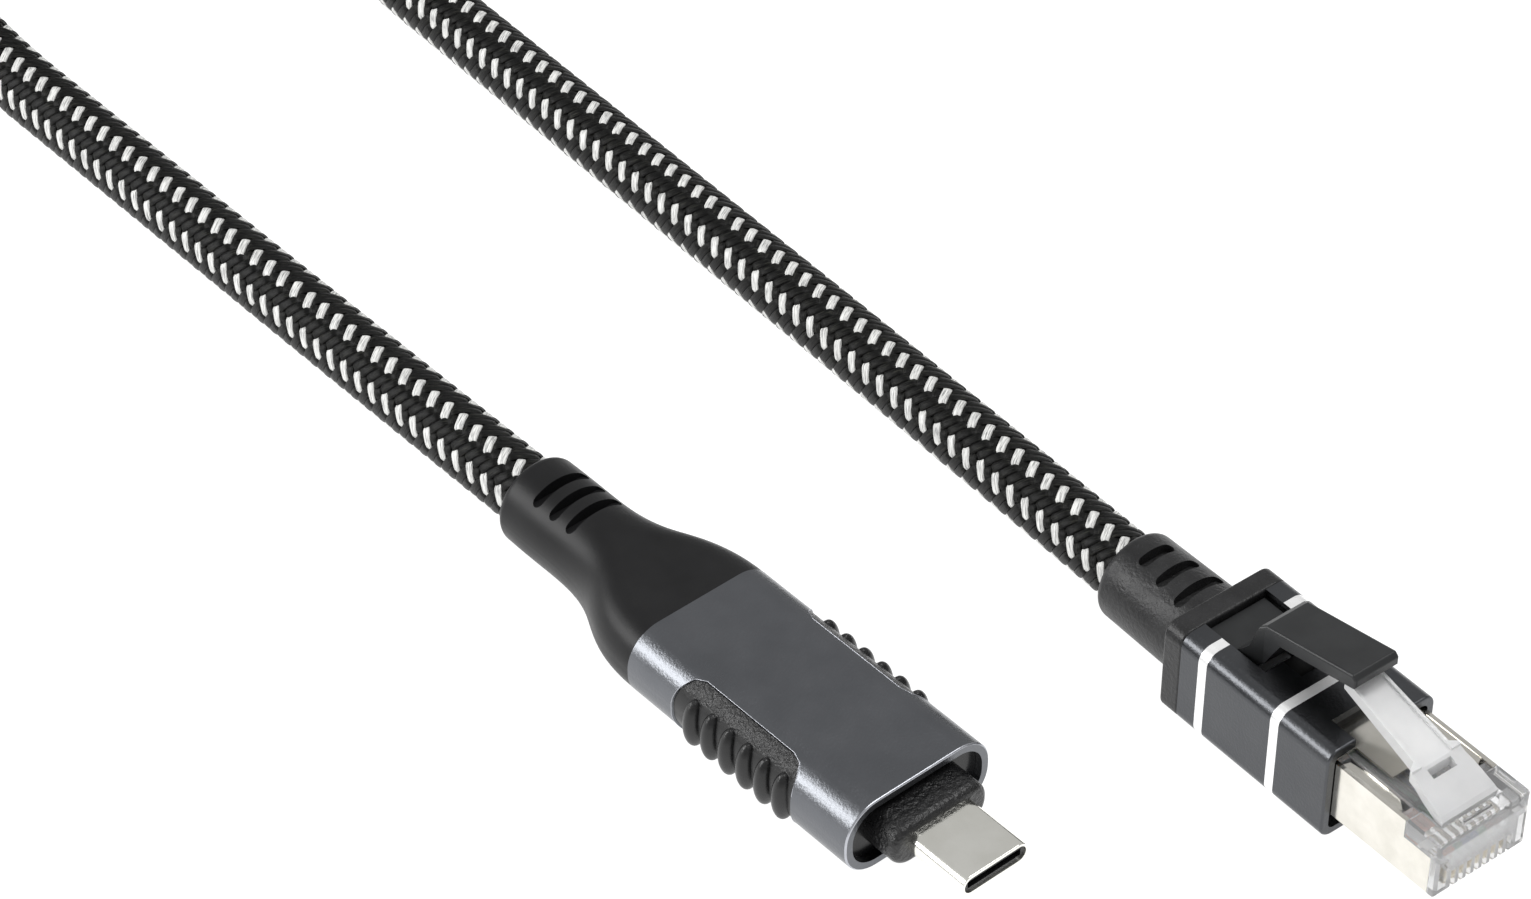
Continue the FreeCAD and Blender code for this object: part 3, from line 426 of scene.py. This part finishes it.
# Each call gives the dark and the light tone, the range of roughness, and then in millimetres the size of the
# patches, the size of the grain and the depth of the grain.
LOOKS = {
    "sleeve_metal": moulded("sleeve_metal", (0.150, 0.156, 0.168, 1), (0.162, 0.168, 0.180, 1),
                            (0.27, 0.33), 6.0, 0.32, 0.03, metallic=1.0),
    "rj45_boot_black": moulded("rj45_boot_black", rgb(24, 24, 25), rgb(34, 34, 35), (0.34, 0.48), 2.5, 0.4,
                               0.08, Specular_IOR_Level=0.42),
    "usbc_boot_black": moulded("usbc_boot_black", rgb(20, 20, 21), rgb(25, 25, 26), (0.36, 0.44), 5.0, 0.12,
                               0.002, Specular_IOR_Level=0.25),
    "lever_plastic": moulded("lever_plastic", rgb(34, 35, 36), rgb(41, 42, 43), (0.3, 0.38), 4.0, 0.1,
                             0.002, Specular_IOR_Level=0.35),
    "inner_mould": moulded("inner_mould", rgb(16, 16, 17), rgb(22, 22, 23), (0.6, 0.75), 3.0, 0.2, 0.006),
    "shield_nickel": moulded("shield_nickel", rgb(220, 217, 208), rgb(232, 229, 221), (0.14, 0.2), 3.0, 0.4,
                             0.002, metallic=1.0),
    "gold_contacts": moulded("gold_contacts", rgb(226, 214, 190), rgb(240, 230, 208), (0.2, 0.3), 1.0, 0.1,
                             0.001, metallic=1.0),
    "jacket_plastic": moulded("jacket_plastic", rgb(150, 152, 154), rgb(168, 170, 172), (0.45, 0.55), 3.0,
                              0.3, 0.004),
    "ferrule_steel": moulded("ferrule_steel", rgb(170, 170, 168), rgb(190, 190, 188), (0.3, 0.42), 2.0,
                             0.15, 0.003, metallic=1.0),
    "wire_orange": moulded("wire_orange", rgb(214, 120, 60), rgb(228, 138, 78), (0.35, 0.45), 2.0, 0.3,
                           0.003),
    "wire_green": moulded("wire_green", rgb(60, 140, 92), rgb(76, 156, 108), (0.35, 0.45), 2.0, 0.3, 0.003),
    "wire_blue": moulded("wire_blue", rgb(64, 104, 170), rgb(82, 122, 186), (0.35, 0.45), 2.0, 0.3, 0.003),
    "wire_brown": moulded("wire_brown", rgb(122, 74, 52), rgb(140, 90, 66), (0.35, 0.45), 2.0, 0.3, 0.003),
    "usbc_shell_steel": moulded("usbc_shell_steel", rgb(244, 243, 235), rgb(252, 251, 244), (0.12, 0.17),
                                4.0, 0.3, 0.0015, metallic=1.0),
    "insulator_black": moulded("insulator_black", rgb(14, 14, 15), rgb(20, 20, 21), (0.35, 0.45), 1.5, 0.1,
                               0.001),
    "spring_steel": moulded("spring_steel", rgb(190, 190, 186), rgb(206, 206, 202), (0.2, 0.3), 1.0, 0.1,
                            0.001, metallic=1.0),
    "grip_rubber": grip_material(),
    "insert_black": moulded("insert_black", rgb(9, 9, 10), rgb(14, 14, 15), (0.16, 0.26), 3.0, 0.3, 0.002,
                            Specular_IOR_Level=0.3),
    "collar_black": moulded("collar_black", rgb(17, 17, 18), rgb(27, 27, 28), (0.24, 0.36), 1.2, 0.42, 0.16,
                            Specular_IOR_Level=0.5),
    "card_green": moulded("card_green", rgb(20, 74, 46), rgb(28, 90, 56), (0.3, 0.4), 2.0, 0.2, 0.002),
    "chip_black": moulded("chip_black", rgb(22, 22, 23), rgb(28, 28, 29), (0.5, 0.6), 1.5, 0.1, 0.002),
    "crystal_can": moulded("crystal_can", rgb(186, 186, 180), rgb(200, 200, 195), (0.25, 0.35), 1.0, 0.1,
                           0.001, metallic=1.0),
    "passive_tan": moulded("passive_tan", rgb(150, 122, 88), rgb(168, 140, 104), (0.4, 0.5), 0.6, 0.1,
                           0.001),
    "can_steel": moulded("can_steel", rgb(170, 172, 172), rgb(188, 190, 190), (0.25, 0.35), 3.0, 0.2, 0.002,
                         metallic=1.0),
    "tie_fabric": moulded("tie_fabric", rgb(20, 20, 21), rgb(30, 30, 31), (0.75, 0.9), 1.0, 0.3, 0.05),
    "clear_plastic": moulded("clear_plastic", (0.93, 0.94, 0.95, 1), (0.97, 0.975, 0.98, 1), (0.03, 0.07),
                             3.0, 0.8, 0.001, Transmission_Weight=1.0, IOR=1.585),
}

LATCH_CLEAR = moulded("latch_clear", (0.93, 0.935, 0.94, 1), (0.97, 0.97, 0.975, 1), (0.12, 0.22), 2.0, 0.4,
                      0.004, Transmission_Weight=0.42, IOR=1.45)
NOSE_CLEAR = moulded("nose_clear", (0.95, 0.955, 0.96, 1), (0.98, 0.98, 0.985, 1), (0.04, 0.09), 2.0, 0.5,
                     0.002, Transmission_Weight=0.78, IOR=1.5)
RJ_SLEEVE = moulded("rj_sleeve_metal", (0.084, 0.087, 0.093, 1), (0.094, 0.097, 0.103, 1), (0.28, 0.34), 5.0,
                    0.32, 0.03, metallic=1.0)
OWN_LOOKS = {"rj45_latch": LATCH_CLEAR, "rj45_plug_body": NOSE_CLEAR, "rj45_sleeve": RJ_SLEEVE}
BRIGHT_METAL = moulded("bright_metal", rgb(250, 250, 250), rgb(255, 255, 255), (0.3, 0.4), 2.0, 0.12, 0.002,
                       metallic=0.6)
CUT_METAL = moulded("cut_metal", rgb(166, 168, 174), rgb(190, 192, 198), (0.25, 0.35), 2.0, 0.2, 0.001,
                    metallic=1.0)

# ---------------------------------------------------------------- dressing the model
for row in frame["record"]["subparts"]:
    node = row["node"]
    look = OWN_LOOKS.get(node) or LOOKS.get(row["material_slot"])
    if look:
        NODES[node].data.materials.clear()
        NODES[node].data.materials.append(look)

# Sizes on the plugs are in millimetres, in each plug's own axes: x forwards, with 0 at its sleeve's front.
RJ_PLACE = Matrix.Translation((33.7, 20.3, 0.0))
RJ_HALF_WIDTH = 6.85
RJ_HEIGHT = 11.2
RJ_CORNER = 1.5
REAR_BAND = (-17.8, -16.65)
FRONT_BAND = (-7.85, -6.7)
REAR_BAND_GAP = 3.95
BAND_OUTER_INSET = 0.015
BAND_INNER_INSET = 0.07
UC_PLACE = Matrix.Translation((10.7, -16.5, 5.0)) @ Matrix.Rotation(math.radians(2.67), 4, "Z")
UC_HALF_WIDTH = 9.0
UC_HALF_HEIGHT = 4.25
UC_CORNER = 3.9
EDGE_ROUNDING = 0.2
RIM_RADIUS = 0.212
RIM_ARC = (12, 78)
RIM_STEPS = 4
WINDOW_REAR = -25.0
WINDOW_FRONT = -7.7
WINDOW_EDGE = 6.6
WINDOW_LIP = 8.98
WINDOW_SIDE_STEPS = 8
WINDOW_WIRE_RADIUS = 0.04 * MM
OUTLINE_STEPS = 10


def rounded_outline(half_width, low, high, corner, inset):
    """Points round a rounded rectangle, pulled in by the inset, anticlockwise from its right side."""
    middle_y = half_width - corner
    middles = [(middle_y, high - corner), (-middle_y, high - corner), (-middle_y, low + corner),
               (middle_y, low + corner)]
    radius = corner - inset
    points = []
    for quarter, (y, z) in enumerate(middles):
        for k in range(OUTLINE_STEPS + 1):
            angle = math.pi / 2 * (quarter + k / OUTLINE_STEPS)
            points.append((y + radius * math.cos(angle), z + radius * math.sin(angle)))
    return points


def ring_mesh(name, place, rings):
    """A mesh through a row of closed rings of points, which are in millimetres in a plug's axes."""
    mesh = bpy.data.meshes.new(name)
    verts = [place @ Vector(spot) * MM for ring in rings for spot in ring]
    mesh.from_pydata(verts, [], ring_faces(len(rings), len(rings[0])).tolist())
    return mesh


def add_band(name, rear, front, gap):
    """A bright ring that fills a groove round the RJ45 sleeve; gap is half the width left open on top."""
    outside = rounded_outline(RJ_HALF_WIDTH, 0.0, RJ_HEIGHT, RJ_CORNER, BAND_OUTER_INSET)
    inside = rounded_outline(RJ_HALF_WIDTH, 0.0, RJ_HEIGHT, RJ_CORNER, BAND_INNER_INSET)
    pairs = list(zip(outside, inside))
    if gap:
        top_out = RJ_HEIGHT - BAND_OUTER_INSET
        top_in = RJ_HEIGHT - BAND_INNER_INSET
        pairs = pairs[OUTLINE_STEPS + 1:] + pairs[:OUTLINE_STEPS + 1]
        pairs = [((-gap, top_out), (-gap, top_in)), *pairs, ((gap, top_out), (gap, top_in))]
    else:
        pairs.append(pairs[0])
    sections = [[(front, y_in, z_in), (front, y_out, z_out), (rear, y_out, z_out), (rear, y_in, z_in)]
                for (y_out, z_out), (y_in, z_in) in pairs]
    cable_piece(name, ring_mesh(name, RJ_PLACE, sections), BRIGHT_METAL)


def add_front_rim():
    """The bright-cut rounded edge round the USB-C sleeve's open front."""
    rings = []
    for k in range(RIM_STEPS + 1):
        angle = math.radians(RIM_ARC[0] + (RIM_ARC[1] - RIM_ARC[0]) * k / RIM_STEPS)
        inset = EDGE_ROUNDING - RIM_RADIUS * math.cos(angle)
        x = RIM_RADIUS * math.sin(angle) - EDGE_ROUNDING
        outline = rounded_outline(UC_HALF_WIDTH, -UC_HALF_HEIGHT, UC_HALF_HEIGHT, UC_CORNER, inset)
        rings.append([(x, y, z) for y, z in outline])
    mesh = ring_mesh("usbc_front_rim", UC_PLACE, rings)
    mesh.shade_smooth()
    cable_piece("usbc_front_rim", mesh, CUT_METAL)


def add_window_rim(name, side):
    """A fine bright line round the opening for a grip, lying on the sleeve's outside."""
    outline = [(WINDOW_REAR, WINDOW_LIP), (WINDOW_REAR + 0.5, 8.2), (WINDOW_REAR + 1.4, 7.1),
               (WINDOW_REAR + 2.6, WINDOW_EDGE), (WINDOW_FRONT - 2.2, WINDOW_EDGE), (WINDOW_FRONT - 1.0, 7.0),
               (WINDOW_FRONT - 0.3, 8.0), (WINDOW_FRONT, WINDOW_LIP)]
    upper = []
    for (x0, y0), (x1, y1) in zip(outline, outline[1:]):
        for k in range(WINDOW_SIDE_STEPS):
            x = x0 + (x1 - x0) * k / WINDOW_SIDE_STEPS
            y = y0 + (y1 - y0) * k / WINDOW_SIDE_STEPS
            across = max(y - (UC_HALF_WIDTH - UC_CORNER), 0.0)
            upper.append((x, y, UC_HALF_HEIGHT - UC_CORNER + math.sqrt(UC_CORNER ** 2 - across ** 2)))
    loop = upper + [(x, y, -z) for x, y, z in reversed(upper)]
    curve = bpy.data.curves.new(name, "CURVE")
    curve.dimensions = "3D"
    spline = curve.splines.new("POLY")
    spline.points.add(len(loop) - 1)
    for spot, (x, y, z) in zip(spline.points, loop):
        spot.co = (*(UC_PLACE @ Vector((x, side * y, z)) * MM), 1.0)
    spline.use_cyclic_u = True
    curve.bevel_depth = WINDOW_WIRE_RADIUS
    curve.bevel_resolution = 2
    cable_piece(name, curve, CUT_METAL)


add_band("rj45_rear_band", *REAR_BAND, REAR_BAND_GAP)
add_band("rj45_front_band", *FRONT_BAND, 0.0)
add_front_rim()
add_window_rim("usbc_near_window_rim", -1)
add_window_rim("usbc_far_window_rim", 1)

# ---------------------------------------------------------------- dressing the cord
core.data.materials.append(CORE_FILL)
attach(core, "cable")
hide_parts("cord_rj45_run", "cord_usbc_run", "cord_coil")

FAMILIES = {  # name: right-handed, carriers, width, material
    "white": (True, range(0, CARRIERS, 2), WHITE_WIDTH, WHITE_YARN),
    "black": (True, range(1, CARRIERS, 2), BLACK_WIDTH, BLACK_YARN),
    "back": (False, range(CARRIERS), BLACK_WIDTH, BLACK_YARN),
}
STRETCHES = {  # name: start, end, rows for each crossing, points round the section
    "rj45": (0.0, VISIBLE_RJ, 4, 8),
    "coil_low": (VISIBLE_RJ - OVERLAP, ALONG[-1] / 2 + OVERLAP, 2, 4),
    "coil_high": (ALONG[-1] / 2 - OVERLAP, ALONG[-1] - VISIBLE_UC + OVERLAP, 2, 4),
    "usbc": (ALONG[-1] - VISIBLE_UC, ALONG[-1], 4, 8),
}
for stretch_name, (start, end, rows_each, section_points) in STRETCHES.items():
    for family, (right_handed, carriers, width, material) in FAMILIES.items():
        braid_piece(f"braid_{stretch_name}_{family}", right_handed, carriers, start, end,
                                 rows_each, section_points, width, material)


# ---------------------------------------------------------------- floor and light
FLOOR_HALF = 3.0
FLOOR_GLOW = 0.95
WORLD_STRENGTH = 0.5


def add_floor():
    """A wide white surface that is bright enough to leave no shadow."""
    mesh = bpy.data.meshes.new("floor")
    corners = [(-FLOOR_HALF, -FLOOR_HALF, 0), (FLOOR_HALF, -FLOOR_HALF, 0), (FLOOR_HALF, FLOOR_HALF, 0),
               (-FLOOR_HALF, FLOOR_HALF, 0)]
    mesh.from_pydata(corners, [], [(0, 1, 2, 3)])
    floor = bpy.data.objects.new("floor", mesh)
    bpy.context.scene.collection.objects.link(floor)
    material, _ = new_material("floor", Base_Color=(0.3, 0.3, 0.3, 1), Roughness=1.0, Specular_IOR_Level=0.0,
                               Emission_Color=(1, 1, 1, 1), Emission_Strength=FLOOR_GLOW)
    mesh.materials.append(material)


def add_lamp(name, spot, target, size, radiance):
    """A rectangular softbox; its power comes from how bright its face is to look at."""
    lamp = bpy.data.lights.new(name, "AREA")
    lamp.shape = "RECTANGLE"
    lamp.size, lamp.size_y = size
    lamp.energy = radiance * math.pi * size[0] * size[1]
    thing = bpy.data.objects.new(name, lamp)
    thing.location = spot
    thing.rotation_euler = (Vector(target) - Vector(spot)).to_track_quat("-Z", "Y").to_euler()
    bpy.context.scene.collection.objects.link(thing)


add_floor()
world = bpy.data.worlds.new("world")
world.use_nodes = True
world.node_tree.nodes["Background"].inputs["Color"].default_value = (1, 1, 1, 1)
world.node_tree.nodes["Background"].inputs["Strength"].default_value = WORLD_STRENGTH
bpy.context.scene.world = world
bpy.context.scene.view_settings.view_transform = "Standard"
add_lamp("left_softbox", spot=(-0.55, -0.72, 0.45), target=(0, 0, 0), size=(0.75, 0.4), radiance=7.0)
add_lamp("overhead", spot=(0.15, 0.25, 0.95), target=(0, 0, 0), size=(0.6, 0.6), radiance=4.0)
